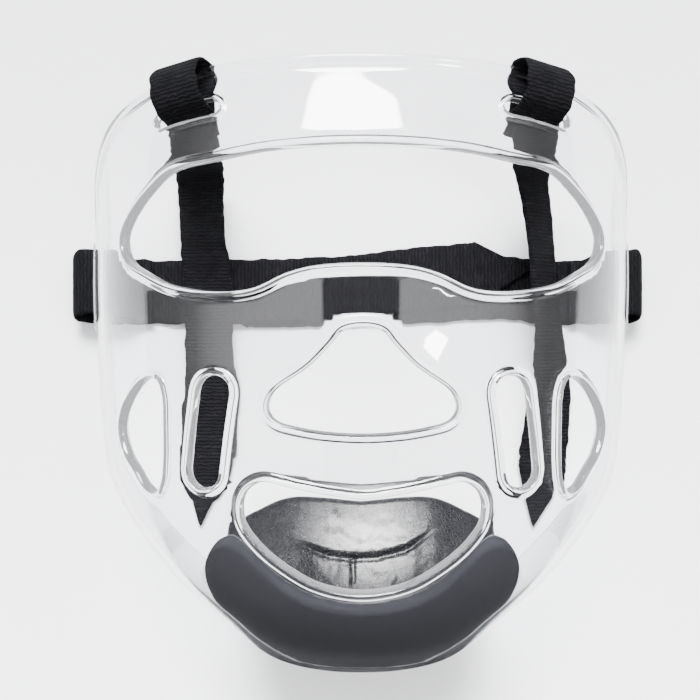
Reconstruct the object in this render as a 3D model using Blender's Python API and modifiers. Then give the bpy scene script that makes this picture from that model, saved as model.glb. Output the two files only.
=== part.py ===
# Face shield headgear as it lies when it is put down, face up: a clear moulded shell, two
# forehead straps, two side straps and a padded chin cup. Metres, +Z up, forehead towards +Y.

import math
import bmesh
import bpy
from mathutils import Vector
from mathutils.geometry import delaunay_2d_cdt

# Room left between pieces that touch
GAP = 0.0003

# Shell: half width and depth of its inner face, and its height between chin and brow
HALF_WIDTH = 0.1000
DEPTH = 0.0928
HEIGHT = 0.2145
WALL = 0.0025
LIP = 0.0042
LIP_WIDTH = 0.0040
BROW_CORNER = (0.018, 0.018)
CHIN_CORNER = (0.120, 0.030)
SHEET_STEP = 0.0088
EDGE_STEP = 0.0046

# Openings in the shell
EYE_WIDTH = 0.178
EYE_HEIGHT = 0.0484
NOSE_WIDTH = 0.0566
NOSE_HEIGHT = 0.0346
MOUTH_WIDTH = 0.0764
MOUTH_HEIGHT = 0.0380
CHEEK_VENT_LENGTH = 0.0385
CHEEK_VENT_WIDTH = 0.0112
CHEEK_VENT_TILT = math.radians(10)
SIDE_VENT_LENGTH = 0.0410
SIDE_VENT_WIDTH = 0.0270
SLOT_HEIGHT = 0.0050
SLOT_ROOM = 0.0030
BROW_BAR = 0.0140
SIDE_BAR = 0.0090

# Straps
BROW_STRAP_WIDTH = 0.0190
BROW_STRAP_RUN = 0.1515
SIDE_STRAP_WIDTH = 0.0250
SIDE_STRAP_RUN = 0.1690
STRAP_THICKNESS = 0.0015
STRAP_STEP = 0.0040
POINT_LENGTH = 0.0300
SIDE_POINT_LENGTH = 0.0220
LOOP_RISE = 0.0100
LOOP_REACH = 0.0088

# Chin cup
CUP_THICKNESS = 0.0080
CUP_GAP = 0.0013
CUP_HALF_WIDTH = 0.0560
CUP_FLAP_HEIGHT = 0.0050
CUP_TUCK = 0.010

# One strap thickness of room under the shell's side rims, where the side straps pass
LIFT = STRAP_THICKNESS + GAP
# Rim to crown along the curve of the shell's widest section
HALF_GIRTH = 0.86 * (HALF_WIDTH + DEPTH)

# Sections of the shell across the face, from brow rim to chin rim. crown_y and rim_y are shares
# of half HEIGHT, crown_z and rim_z of DEPTH, rim_x of HALF_WIDTH; full is how square it is.
SECTIONS = [
    # crown_y, crown_z, rim_x, rim_y, rim_z, full
    (1.000, 0.811, 0.985, 0.581, 0.043, 0.20),
    (0.854, 0.874, 0.995, 0.472, 0.017, 0.20),
    (0.690, 0.926, 1.000, 0.353, 0.006, 0.20),
    (0.472, 0.963, 1.000, 0.226, 0.006, 0.20),
    (0.253, 0.984, 0.995, 0.098, 0.000, 0.20),
    (0.016, 1.000, 0.985, -0.039, 0.000, 0.20),
    (-0.257, 0.989, 0.971, -0.194, 0.000, 0.20),
    (-0.513, 0.937, 0.932, -0.335, 0.012, 0.20),
    (-0.740, 0.842, 0.770, -0.539, 0.091, 0.19),
    (-0.904, 0.695, 0.558, -0.723, 0.190, 0.165),
    (-0.991, 0.527, 0.405, -0.882, 0.283, 0.15),
    (-1.025, 0.401, 0.260, -0.957, 0.347, 0.10),
]
# How late each section turns from the crown towards the rim, seen from the front
TURN = 1.2

# Right half of each opening's edge from its top middle: shares of half its width and of its height
EYE_EDGE = [
    # across, down
    (0.000, 0.000), (0.300, 0.016), (0.520, 0.054), (0.700, 0.066), (0.830, 0.180), (0.940, 0.310),
    (0.996, 0.420), (1.000, 0.530), (0.950, 0.670), (0.850, 0.785), (0.738, 0.893), (0.636, 0.950),
    (0.533, 0.985), (0.430, 0.995), (0.350, 0.967), (0.254, 0.886), (0.150, 0.838), (0.000, 0.822),
]
NOSE_EDGE = [
    # across, down
    (0.000, 0.000), (0.200, 0.035), (0.320, 0.155), (0.464, 0.287), (0.630, 0.414), (0.884, 0.566),
    (0.972, 0.658), (1.000, 0.741), (0.980, 0.820), (0.896, 0.890), (0.720, 0.934), (0.400, 0.980),
    (0.000, 1.000),
]
MOUTH_EDGE = [
    # across, down
    (0.000, 0.137), (0.213, 0.112), (0.456, 0.068), (0.678, 0.019), (0.809, 0.000), (0.921, 0.057),
    (0.982, 0.153), (1.000, 0.249), (0.994, 0.377), (0.942, 0.495), (0.830, 0.637), (0.653, 0.784),
    (0.468, 0.899), (0.250, 0.970), (0.000, 1.000),
]
# The side vent's whole edge, straight towards the nose: shares of its width and length
SIDE_VENT_EDGE = [
    # outwards, down
    (0.00, 0.16), (0.00, 0.40), (0.03, 0.66), (0.09, 0.88), (0.22, 1.00), (0.42, 0.98),
    (0.64, 0.84), (0.88, 0.70), (1.00, 0.51), (0.90, 0.32), (0.64, 0.14), (0.34, 0.01), (0.10, 0.01),
]
# Places of the openings: shares of HALF_GIRTH across and of the sheet's length down
EYE_TOP = 0.1409
NOSE_TOP = 0.394
MOUTH_TOP = 0.6045
CHEEK_VENT_PLACE = (0.299, 0.538)
SIDE_VENT_PLACE = (0.415, 0.547)
BROW_SLOT_ACROSS = 0.354
SIDE_SLOT_DOWN = 0.226


def blend(rows, t):
    """Smooth curve through rows of numbers, at row number t."""
    i = min(max(int(t), 0), len(rows) - 2)
    f = t - i
    b, c = rows[i], rows[i + 1]
    a = rows[i - 1] if i > 0 else [2 * p - q for p, q in zip(b, c)]
    d = rows[i + 2] if i + 2 < len(rows) else [2 * q - p for p, q in zip(b, c)]
    return [0.5 * (2 * q + (r - p) * f + (2 * p - 5 * q + 4 * r - s) * f * f
                   + (3 * q - p - 3 * r + s) * f ** 3) for p, q, r, s in zip(a, b, c, d)]


def section_lengths():
    """Distance of each section from the brow rim, along the crown."""
    lengths = [0.0]
    for (y0, z0, *_), (y1, z1, *_) in zip(SECTIONS, SECTIONS[1:]):
        lengths.append(lengths[-1] + math.hypot((y1 - y0) * HEIGHT / 2, (z1 - z0) * DEPTH))
    return lengths


LENGTHS = section_lengths()
SHEET = LENGTHS[-1]


def sheet_point(across, down):
    """Point of the shell's inner face, from distances along it: across from the middle, and
    down from the brow rim."""
    i = max(n for n in range(len(LENGTHS) - 1) if n == 0 or LENGTHS[n] <= down)
    t = i + (down - LENGTHS[i]) / (LENGTHS[i + 1] - LENGTHS[i])
    crown_y, crown_z, rim_x, rim_y, rim_z, full = blend(SECTIONS, t)
    turn = across / HALF_GIRTH * math.pi / 2
    s, c = math.sin(turn), math.cos(turn)
    x = HALF_WIDTH * rim_x * (s + full * s * c * c)
    y = HEIGHT / 2 * (crown_y + (rim_y - crown_y) * (1 - c) ** TURN)
    z = LIFT + DEPTH * (crown_z + (rim_z - crown_z) * (1 - c))
    return Vector((x, y, z))


def sheet_slopes(across, down):
    """How the point moves for a step across and for a step down."""
    e = 0.0004
    low = max(down - e, 0.0)
    high = min(down + e, SHEET)
    slope_across = (sheet_point(across + e, down) - sheet_point(across - e, down)) / (2 * e)
    slope_down = (sheet_point(across, high) - sheet_point(across, low)) / (high - low)
    return slope_across, slope_down


def sheet_normal(across, down):
    """Direction straight out of the shell."""
    slope_across, slope_down = sheet_slopes(across, down)
    return slope_down.cross(slope_across).normalized()


def sheet_shift(across, down, move):
    """Place on the sheet after a short move given as a vector."""
    a, d = sheet_slopes(across, down)
    area = a.dot(a) * d.dot(d) - a.dot(d) ** 2
    step_across = (move.dot(a) * d.dot(d) - move.dot(d) * a.dot(d)) / area
    step_down = (move.dot(d) * a.dot(a) - move.dot(a) * a.dot(d)) / area
    return across + step_across, down + step_down


def slot_frame(across, down, along_rim):
    """Directions at a slot: along it, towards the rim it stands by, and out of the shell."""
    out = sheet_normal(across, down)
    slope_across, slope_down = sheet_slopes(across, down)
    along = (slope_down if along_rim else slope_across).normalized()
    to_rim = out.cross(along) if along_rim else along.cross(out)
    if along_rim:
        to_rim *= -math.copysign(1, across)
    else:
        to_rim *= -1
    return along, to_rim.normalized(), out


def loop_through(points, step):
    """Closed smooth curve through points on the sheet, in steps of about that length."""
    rows = [points[-1]] + points + points[:2]
    path = []
    for i in range(len(points)):
        count = max(1, round(math.dist(points[i], points[(i + 1) % len(points)]) / step))
        path += [tuple(blend(rows, i + 1 + n / count)) for n in range(count)]
    return path


def mirrored(half, top, width, height):
    """Whole edge of an opening across the middle, from its right half."""
    right = [(a * width / 2, top + d * height) for a, d in half]
    left = [(-a, d) for a, d in reversed(right) if a > 0]
    return right + left


def stadium(centre, long_way, wide_way, length, width):
    """Rounded slot round a place on the sheet, with its real length and width."""
    edge = []
    for end in (1, -1):
        for n in range(7):
            turn = math.pi * (n / 6 - 0.5)
            long_shift = end * ((length - width) / 2 + width / 2 * math.cos(turn))
            move = long_way * long_shift + wide_way * (end * width / 2 * math.sin(turn))
            edge.append(sheet_shift(*centre, move))
    return edge


def brow_slot_place(side):
    return side * BROW_SLOT_ACROSS * HALF_GIRTH, BROW_BAR + SLOT_HEIGHT / 2


def side_slot_place(side):
    place = (side * HALF_GIRTH, SIDE_SLOT_DOWN * SHEET)
    slope = sheet_slopes(*place)[0].length
    return place[0] - side * (SIDE_BAR + SLOT_HEIGHT / 2) / slope, place[1]


def openings():
    """Edge of every opening in the shell, on the sheet."""
    edges = [mirrored(EYE_EDGE, EYE_TOP * SHEET, EYE_WIDTH, EYE_HEIGHT),
             mirrored(NOSE_EDGE, NOSE_TOP * SHEET, NOSE_WIDTH, NOSE_HEIGHT),
             mirrored(MOUTH_EDGE, MOUTH_TOP * SHEET, MOUTH_WIDTH, MOUTH_HEIGHT)]
    for side in (1, -1):
        centre = (side * CHEEK_VENT_PLACE[0] * HALF_GIRTH, CHEEK_VENT_PLACE[1] * SHEET)
        slope_across, slope_down = sheet_slopes(*centre)
        out = sheet_normal(*centre)
        down = slope_down.normalized()
        wide = out.cross(down)
        tilt = side * CHEEK_VENT_TILT
        edges.append(stadium(centre, down * math.cos(tilt) + wide * math.sin(tilt),
                             wide * math.cos(tilt) - down * math.sin(tilt),
                             CHEEK_VENT_LENGTH, CHEEK_VENT_WIDTH))
        inner = SIDE_VENT_PLACE[0] * HALF_GIRTH
        top = SIDE_VENT_PLACE[1] * SHEET - SIDE_VENT_LENGTH / 2
        edges.append([(side * (inner + a * SIDE_VENT_WIDTH), top + d * SIDE_VENT_LENGTH)
                      for a, d in SIDE_VENT_EDGE])
        for place, along_rim, strap in ((brow_slot_place(side), False, BROW_STRAP_WIDTH),
                                        (side_slot_place(side), True, SIDE_STRAP_WIDTH)):
            along, to_rim, out = slot_frame(*place, along_rim)
            edges.append(stadium(place, along, to_rim, strap + 2 * SLOT_ROOM, SLOT_HEIGHT))
    return [loop_through(edge, EDGE_STEP) for edge in edges]


def lip_foot(edge, reach):
    """Loop round an opening's edge, at that distance outside it."""
    area = sum(a[0] * b[1] - b[0] * a[1] for a, b in zip(edge, edge[1:] + edge[:1]))
    foot = []
    for before, place, after in zip(edge[-1:] + edge[:-1], edge, edge[1:] + edge[:1]):
        along = (sheet_point(*after) - sheet_point(*before)).normalized()
        outwards = along.cross(sheet_normal(*place)) * math.copysign(1, area)
        foot.append(sheet_shift(*place, -outwards.normalized() * reach))
    return foot


def sheet_border(inset):
    """The sheet's own edge, a rectangle with corners rounded across and down, moved in by inset."""
    border = []
    for across, down, corner, start in ((1, 0, BROW_CORNER, -90), (1, 1, CHIN_CORNER, 0),
                                        (-1, 1, CHIN_CORNER, 90), (-1, 0, BROW_CORNER, 180)):
        middle_a = across * (HALF_GIRTH - corner[0])
        middle_d = SHEET - corner[1] if down else corner[1]
        for n in range(9):
            turn = math.radians(start + n * 11.25)
            border.append((middle_a + math.cos(turn) * (corner[0] - inset),
                           middle_d + math.sin(turn) * (corner[1] - inset)))
    full = []
    for a, b in zip(border, border[1:] + border[:1]):
        count = max(1, round(math.dist(a, b) / SHEET_STEP))
        full += [(a[0] + (b[0] - a[0]) * n / count, a[1] + (b[1] - a[1]) * n / count)
                 for n in range(count)]
    return full


def rim_fade(place):
    """How far the rim is rolled: fully at the brow, not at all at the chin."""
    return max(0.0, 1.0 - place[1] / (0.8 * SHEET))


def inside(place, loop):
    """Whether a place on the sheet lies within a closed loop."""
    within = False
    for (a0, d0), (a1, d1) in zip(loop, loop[1:] + loop[:1]):
        if (d0 > place[1]) != (d1 > place[1]):
            if place[0] < a0 + (place[1] - d0) / (d1 - d0) * (a1 - a0):
                within = not within
    return within


def material(name, colour, roughness, alpha=1.0):
    """Principled material of one piece."""
    made = bpy.data.materials.new(name)
    made.use_nodes = True
    shader = made.node_tree.nodes["Principled BSDF"]
    shader.inputs["Base Color"].default_value = (*colour, 1.0)
    shader.inputs["Roughness"].default_value = roughness
    shader.inputs["Metallic"].default_value = 0.0
    shader.inputs["Alpha"].default_value = alpha
    made.diffuse_color = (*colour, alpha)
    return made


def new_piece(name, verts, faces, finish):
    """Object from a mesh of one open surface, smooth shaded."""
    mesh = bpy.data.meshes.new(name)
    work = bmesh.new()
    made = [work.verts.new(v) for v in verts]
    for face in faces:
        work.faces.new([made[n] for n in face])
    work.to_mesh(mesh)
    work.free()
    mesh.materials.append(finish)
    mesh.shade_smooth()
    piece = bpy.data.objects.new(name, mesh)
    headgear.objects.link(piece)
    return piece


def make_shell():
    """The clear sheet with its openings, bent to the face, thicker at every lip and at its rim."""
    edges = openings()
    feet = [lip_foot(edge, LIP_WIDTH) for edge in edges]
    border = sheet_border(0.0)
    inner_border = sheet_border(LIP_WIDTH)
    loops = edges + [border] + feet + [inner_border]
    places = []
    ridges = []
    wires = []
    for loop in loops:
        first = len(places)
        places += loop
        ridges += [rim_fade(place) if loop is border else float(loop in edges) for place in loop]
        wires += [(first + n, first + (n + 1) % len(loop)) for n in range(len(loop))]
    taken = list(places)
    columns = round(2 * HALF_GIRTH / SHEET_STEP)
    rows = round(SHEET / SHEET_STEP)
    for i in range(1, columns):
        for j in range(1, rows):
            place = (-HALF_GIRTH + 2 * HALF_GIRTH * i / columns, SHEET * j / rows)
            if not inside(place, inner_border) or any(inside(place, foot) for foot in feet):
                continue
            if min(math.dist(place, other) for other in taken) > 0.5 * SHEET_STEP:
                places.append(place)
                ridges.append(0.0)
    flat, _, faces, source, _, _ = delaunay_2d_cdt([Vector(p) for p in places], wires, [], 0, 1e-7)
    kept = []
    for face in faces:
        middle = tuple(sum((flat[n] for n in face), Vector((0.0, 0.0))) / len(face))
        if inside(middle, border) and not any(inside(middle, edge) for edge in edges):
            kept.append(tuple(reversed(face)))
    used = sorted({n for face in kept for n in face})
    number = {n: k for k, n in enumerate(used)}
    shell = new_piece("shell", [sheet_point(*flat[n]) for n in used],
                      [[number[n] for n in face] for face in kept],
                      material("clear_plastic", (0.90, 0.92, 0.95), 0.06, 0.30))
    ridge = shell.vertex_groups.new(name="ridge")
    for n in used:
        ridge.add([number[n]], max([ridges[k] for k in source[n]], default=0.0), "REPLACE")
    wall = shell.modifiers.new("wall", "SOLIDIFY")
    wall.thickness = LIP
    wall.offset = 1.0
    wall.vertex_group = "ridge"
    wall.thickness_vertex_group = WALL / LIP
    wall.use_quality_normals = True
    return shell


def make_strap(name, keys, width, thickness, point, finish):
    """Flat webbing along keys of (middle, direction across), ending in a point whose place across
    and set-backs of its two corners are given by point."""
    rows = [tuple(middle) + tuple(across) for middle, across in keys]
    fine = [blend(rows, n / 12) for n in range(12 * (len(rows) - 1) + 1)]
    run = [0.0]
    for a, b in zip(fine, fine[1:]):
        run.append(run[-1] + math.dist(a[:3], b[:3]))

    def at(distance, share):
        """Point at a distance along the webbing and a share of half its width across."""
        k = max(n for n in range(len(run) - 1) if n == 0 or run[n] <= distance)
        f = (distance - run[k]) / (run[k + 1] - run[k])
        mixed = [a + (b - a) * f for a, b in zip(fine[k], fine[k + 1])]
        point = Vector(mixed[:3]) + Vector(mixed[3:]).normalized() * (share * width / 2)
        point.z = max(point.z, thickness / 2)
        return point

    tip_share, left_back, right_back = point
    straight = run[-1] - max(left_back, right_back) - STRAP_STEP
    count = round(straight / STRAP_STEP)
    shares = (-1.0, tip_share, 1.0)
    verts = [at(straight * n / count, share) for n in range(count + 1) for share in shares]
    backs = (left_back, 0.0, right_back)
    verts += [at(run[-1] - back, share) for back, share in zip(backs, shares)]
    faces = []
    for n in range(count + 1):
        for m in range(2):
            a = 3 * n + m
            faces.append((a, a + 1, a + 4, a + 3))
    strap = new_piece(name, verts, faces, finish)
    wall = strap.modifiers.new("webbing", "SOLIDIFY")
    wall.thickness = thickness
    wall.offset = 0.0
    wall.use_even_offset = True
    return strap


# The loop round the bar between a brow slot and the brow rim, from its sewn end to the slot:
# shares of the bar, of LOOP_RISE and of the slot's height above the table
BROW_LOOP = [
    # to rim, out, drop
    (-0.30, 0.00, 0.440), (-0.06, 0.00, 0.260), (0.30, 0.00, 0.100), (0.72, -0.40, 0.000),
    (0.98, -0.34, 0.000), (1.10, -0.08, 0.000), (1.13, 0.26, 0.000), (1.04, 0.72, 0.000),
    (0.76, 1.00, 0.000), (0.41, 0.98, 0.000), (0.15, 0.74, 0.000), (0.01, 0.30, 0.000),
    (-0.05, -0.14, 0.000),
]
# Each brow strap's tail from its slot to its point: shares of BROW_STRAP_RUN, of its width and of
# the slot's height, side straps lying under it, and its roll in degrees
BROW_TAIL_LEFT = [
    # along, sideways, height, layers, roll
    (0.012, 0.00, 0.910, 0.0, 26), (0.028, -0.01, 0.760, 0.0, 22), (0.045, -0.04, 0.580, 0.0, 14),
    (0.062, -0.08, 0.380, 0.0, 8), (0.082, -0.11, 0.180, 0.0, 6), (0.118, -0.12, 0.070, 0.0, 14),
    (0.180, -0.11, 0.055, 0.5, 22), (0.260, -0.06, 0.048, 1.9, 18), (0.385, 0.03, 0.016, 2.0, 6),
    (0.500, 0.04, 0.014, 2.0, 5), (0.620, 0.04, 0.020, 0.8, 8), (0.760, 0.06, 0.020, 0.0, 8),
    (0.890, 0.07, 0.012, 0.0, 5), (1.000, 0.07, 0.004, 0.0, 2),
]
BROW_TAIL_RIGHT = [
    # along, sideways, height, layers, roll
    (0.012, 0.06, 0.920, 0.0, -25), (0.030, 0.09, 0.780, 0.0, -25), (0.055, 0.14, 0.600, 0.0, -28),
    (0.085, 0.20, 0.400, 0.0, -36), (0.125, 0.31, 0.240, 0.0, -46), (0.180, 0.42, 0.150, 0.5, -48),
    (0.260, 0.50, 0.100, 2.0, -52), (0.385, 0.58, 0.098, 2.0, -53), (0.500, 0.68, 0.090, 2.0, -47),
    (0.620, 0.72, 0.070, 0.8, -30), (0.760, 0.64, 0.030, 0.0, -12), (0.880, 0.57, 0.010, 0.0, -4),
    (1.000, 0.57, 0.004, 0.0, -2),
]
# Point of each strap: place across, and how far its two corners stand back, as shares
BROW_POINT_LEFT = (-0.50, 0.65, 1.00)
BROW_POINT_RIGHT = (-0.30, 0.85, 0.65)
SIDE_POINT = (0.00, 1.00, 1.00)

# The loop round the bar under a side slot: distance out from the rim as a share of LOOP_REACH,
# height above the table as a share of the slot's, and place along the slot as a share of the
# strap's width
SIDE_LOOP = [
    # out, height, upwards
    (-2.35, 0.255, -0.05), (-2.00, 0.265, -0.05), (-1.57, 0.42, -0.02), (-1.12, 0.76, 0.03),
    (-0.60, 0.97, 0.08), (0.20, 1.04, 0.09), (0.76, 0.90, 0.08), (1.00, 0.56, 0.03),
    (0.80, 0.22, -0.02), (0.36, 0.080, -0.05), (-0.30, 0.074, -0.06),
]
# Each side strap's tail from the rim to its point: shares of SIDE_STRAP_RUN and of its width, and
# straps lying under it
SIDE_TAIL_LEFT = [
    # along, upwards, layers
    (0.08, -0.06, 0.0), (0.14, -0.06, 0.0), (0.21, -0.05, 1.0), (0.34, -0.04, 1.0),
    (0.47, -0.02, 1.0), (0.60, 0.04, 1.0), (0.80, 0.19, 1.0), (1.00, 0.30, 1.0),
]
SIDE_TAIL_RIGHT = [
    # along, upwards, layers
    (0.08, -0.06, 0.0), (0.18, -0.05, 0.0), (0.28, 0.02, 0.0), (0.37, 0.00, 0.0), (0.50, -0.06, 0.0),
    (0.80, -0.10, 0.0), (1.00, -0.11, 0.0),
]
LAYER = STRAP_THICKNESS + GAP


def make_brow_strap(name, side, tail, point, finish):
    """Strap looped over the bar above a brow slot, its tail let down to lie on the table."""
    place = brow_slot_place(side)
    along, to_rim, out = slot_frame(*place, False)
    if along.x < 0:
        along = -along
    slot = sheet_point(*place)
    bar = (sheet_point(place[0], 0.0) - slot).length
    keys = []
    for up, rise, drop in BROW_LOOP:
        fall = Vector((0.0, 0.0, -drop * slot.z))
        keys.append((slot + to_rim * (up * bar) + out * (rise * LOOP_RISE) + fall, along))
    for share, sideways, height, layers, roll in tail:
        y = slot.y - share * BROW_STRAP_RUN
        x = slot.x + sideways * BROW_STRAP_WIDTH
        z = STRAP_THICKNESS / 2 + layers * LAYER + height * slot.z
        turn = math.radians(roll)
        keys.append((Vector((x, y, z)), Vector((math.cos(turn), 0.0, math.sin(turn)))))
    tip, left_back, right_back = point
    backs = (tip, left_back * POINT_LENGTH, right_back * POINT_LENGTH)
    return make_strap(name, keys, BROW_STRAP_WIDTH, STRAP_THICKNESS, backs, finish)


def make_side_strap(name, side, tail, finish):
    """Strap looped round the bar under a side slot, its tail laid across the table."""
    slot = sheet_point(*side_slot_place(side))
    rim = sheet_point(side * HALF_GIRTH, SIDE_SLOT_DOWN * SHEET)
    edge = abs(rim.x) + WALL
    lengthwise = Vector((0.0, 1.0, 0.0))
    keys = []
    for out, height, upwards in SIDE_LOOP:
        y = slot.y + upwards * SIDE_STRAP_WIDTH
        keys.append((Vector((side * (edge + out * LOOP_REACH), y, height * slot.z)), lengthwise))
    for share, upwards, layers in tail:
        x = side * (edge - share * SIDE_STRAP_RUN)
        y = slot.y + upwards * SIDE_STRAP_WIDTH
        keys.append((Vector((x, y, STRAP_THICKNESS / 2 + layers * LAYER)), lengthwise))
    tip, low_back, high_back = SIDE_POINT
    backs = (tip, low_back * SIDE_POINT_LENGTH, high_back * SIDE_POINT_LENGTH)
    return make_strap(name, keys, SIDE_STRAP_WIDTH, STRAP_THICKNESS, backs, finish)


# The chin cup from its middle to its end. It lines the shell from its front edge to its lower
# line, both as shares of CUP_HALF_WIDTH across and of the sheet's length down, and then curls in
# to the free edge of its flap, as shares of CUP_HALF_WIDTH across and of half HEIGHT up the face.
CUP_SECTIONS = [
    # front_across, front_down, low_across, low_down, flap_across, flap_y
    (0.000, 0.797, 0.000, 0.986, 0.000, -0.505),
    (0.300, 0.786, 0.540, 0.982, 0.290, -0.490),
    (0.500, 0.757, 0.960, 0.966, 0.480, -0.492),
    (0.690, 0.702, 1.260, 0.936, 0.660, -0.535),
    (0.875, 0.705, 1.410, 0.893, 0.790, -0.570),
    (1.050, 0.744, 1.450, 0.850, 0.895, -0.585),
]
CUP_COLUMNS = 20
CUP_ROWS = 6


def make_chin_cup(finish):
    """Foam cup that lines the shell under the mouth and curls back into a flap behind the chin."""
    verts = []
    half = len(CUP_SECTIONS) - 1
    for i in range(CUP_COLUMNS + 1):
        share = 2 * i / CUP_COLUMNS - 1
        side = math.copysign(1, share)
        front_a, front_d, low_a, low_d, flap_a, flap_y = blend(CUP_SECTIONS, abs(share) * half)
        front = (side * front_a * CUP_HALF_WIDTH * 1.1, front_d * SHEET)
        low = (side * low_a * CUP_HALF_WIDTH * 1.1, low_d * SHEET)
        lining = []
        for j in range(CUP_ROWS + 1):
            mix = j / CUP_ROWS
            place = [f + (g - f) * mix for f, g in zip(front, low)]
            lining.append(sheet_point(*place) - sheet_normal(*place) * CUP_GAP)
        flap = Vector((side * flap_a * CUP_HALF_WIDTH, flap_y * HEIGHT / 2, CUP_FLAP_HEIGHT))
        start = lining[-1]
        down_wall = (lining[-1] - lining[-2]).normalized()
        tuck = sheet_normal(*low) * CUP_TUCK
        inwards = Vector((-side * flap_a * 0.3, 1.0, 0.0)).normalized()
        reach = (flap - start).length
        for j in range(1, CUP_ROWS + 1):
            s = j / CUP_ROWS
            a, b, c, d = (1 - s) ** 3, 3 * s * (1 - s) ** 2, 3 * s * s * (1 - s), s ** 3
            lining.append(start * a + (start + down_wall * reach * 0.27 - tuck) * b
                          + (flap - inwards * reach * 0.45) * c + flap * d)
        verts += lining
    rows = 2 * CUP_ROWS + 1
    faces = []
    for i in range(CUP_COLUMNS):
        for j in range(rows - 1):
            a = i * rows + j
            faces.append((a, a + 1, a + rows + 1, a + rows))
    cup = new_piece("chin_cup", verts, faces, finish)
    foam = cup.modifiers.new("foam", "SOLIDIFY")
    foam.thickness = CUP_THICKNESS
    foam.offset = -1.0
    foam.use_even_offset = False
    return cup


def centre_on_table(pieces):
    """Move every mesh so that the whole lies on z = 0 with its box centred on the origin."""
    bpy.context.view_layer.update()
    graph = bpy.context.evaluated_depsgraph_get()
    corners = []
    for piece in pieces:
        evaluated = piece.evaluated_get(graph)
        corners += [v.co.copy() for v in evaluated.data.vertices]
    low = Vector([min(c[k] for c in corners) for k in range(3)])
    high = Vector([max(c[k] for c in corners) for k in range(3)])
    shift = Vector(((low.x + high.x) / 2, (low.y + high.y) / 2, low.z))
    for piece in pieces:
        for vert in piece.data.vertices:
            vert.co -= shift


for old in list(bpy.data.objects):
    bpy.data.objects.remove(old, do_unlink=True)
headgear = bpy.data.collections.new("face_shield_headgear")
bpy.context.scene.collection.children.link(headgear)

webbing = material("black_webbing", (0.020, 0.020, 0.024), 0.90)
vinyl = material("black_vinyl", (0.030, 0.030, 0.033), 0.45)
made_pieces = [
    make_shell(),
    make_brow_strap("brow_strap_left", -1, BROW_TAIL_LEFT, BROW_POINT_LEFT, webbing),
    make_brow_strap("brow_strap_right", 1, BROW_TAIL_RIGHT, BROW_POINT_RIGHT, webbing),
    make_side_strap("side_strap_left", -1, SIDE_TAIL_LEFT, webbing),
    make_side_strap("side_strap_right", 1, SIDE_TAIL_RIGHT, webbing),
    make_chin_cup(vinyl),
]
centre_on_table(made_pieces)
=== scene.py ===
import math
import random

import bpy
import numpy as np
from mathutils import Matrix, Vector, noise
from mathutils.geometry import delaunay_2d_cdt
from mathutils.kdtree import KDTree


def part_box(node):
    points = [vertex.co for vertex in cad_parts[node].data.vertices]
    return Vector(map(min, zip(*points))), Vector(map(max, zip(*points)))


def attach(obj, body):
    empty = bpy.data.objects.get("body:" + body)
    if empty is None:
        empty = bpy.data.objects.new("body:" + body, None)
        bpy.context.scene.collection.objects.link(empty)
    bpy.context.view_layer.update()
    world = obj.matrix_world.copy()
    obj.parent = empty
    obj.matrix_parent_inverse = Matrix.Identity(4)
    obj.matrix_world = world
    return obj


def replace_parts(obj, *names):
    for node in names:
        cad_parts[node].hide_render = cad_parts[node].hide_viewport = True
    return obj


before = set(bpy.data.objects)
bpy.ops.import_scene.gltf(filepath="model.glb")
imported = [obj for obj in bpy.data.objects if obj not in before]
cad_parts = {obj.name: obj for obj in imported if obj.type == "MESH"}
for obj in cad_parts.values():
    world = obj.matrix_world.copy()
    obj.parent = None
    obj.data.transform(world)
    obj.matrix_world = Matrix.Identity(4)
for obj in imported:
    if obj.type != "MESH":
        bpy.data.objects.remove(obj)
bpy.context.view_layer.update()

# Shell: one sheet of clear polycarbonate, moulded to the face. Every opening is cut through and
# has a rounded bead along its edge, and the rim is rolled at the brow and plain at the chin.
shell_low, shell_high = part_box("shell")
WALL = 0.0025
BEAD_RISE = 0.0017
STRAP_THICKNESS = 0.0015
STRAP_GAP = 0.0003
LIFT = STRAP_THICKNESS + STRAP_GAP
# What the shell's box holds besides its inner face: at each side, along its length, over its crown
SIDE_EXTRA = 0.00413
LENGTH_EXTRA = 0.0040
CROWN_EXTRA = 0.0055
# The last section reaches past half HEIGHT
SECTION_REACH = 1.0125
HALF_WIDTH = (shell_high.x - shell_low.x) / 2 - SIDE_EXTRA
HEIGHT = (shell_high.y - shell_low.y - LENGTH_EXTRA) / SECTION_REACH
DEPTH = shell_high.z - CROWN_EXTRA
# Rim to crown along the curve of the widest section
HALF_GIRTH = 0.86 * (HALF_WIDTH + DEPTH)
BROW_CORNER = (0.018, 0.018)
CHIN_CORNER = (0.120, 0.030)
# How late each section turns from the crown towards the rim
TURN = 1.2

# Sections across the face from brow rim to chin rim: shares of half HEIGHT, DEPTH and HALF_WIDTH,
# and how square each is
SECTIONS = [
    # crown_y, crown_z, rim_x, rim_y, rim_z, full
    (1.000, 0.811, 0.985, 0.581, 0.043, 0.20),
    (0.854, 0.874, 0.995, 0.472, 0.017, 0.20),
    (0.690, 0.926, 1.000, 0.353, 0.006, 0.20),
    (0.472, 0.963, 1.000, 0.226, 0.006, 0.20),
    (0.253, 0.984, 0.995, 0.098, 0.000, 0.20),
    (0.016, 1.000, 0.985, -0.039, 0.000, 0.20),
    (-0.257, 0.989, 0.971, -0.194, 0.000, 0.20),
    (-0.513, 0.937, 0.932, -0.335, 0.012, 0.20),
    (-0.740, 0.842, 0.770, -0.539, 0.091, 0.19),
    (-0.904, 0.695, 0.558, -0.723, 0.190, 0.165),
    (-0.991, 0.527, 0.405, -0.882, 0.283, 0.15),
    (-1.025, 0.401, 0.260, -0.957, 0.347, 0.10),
]
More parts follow.
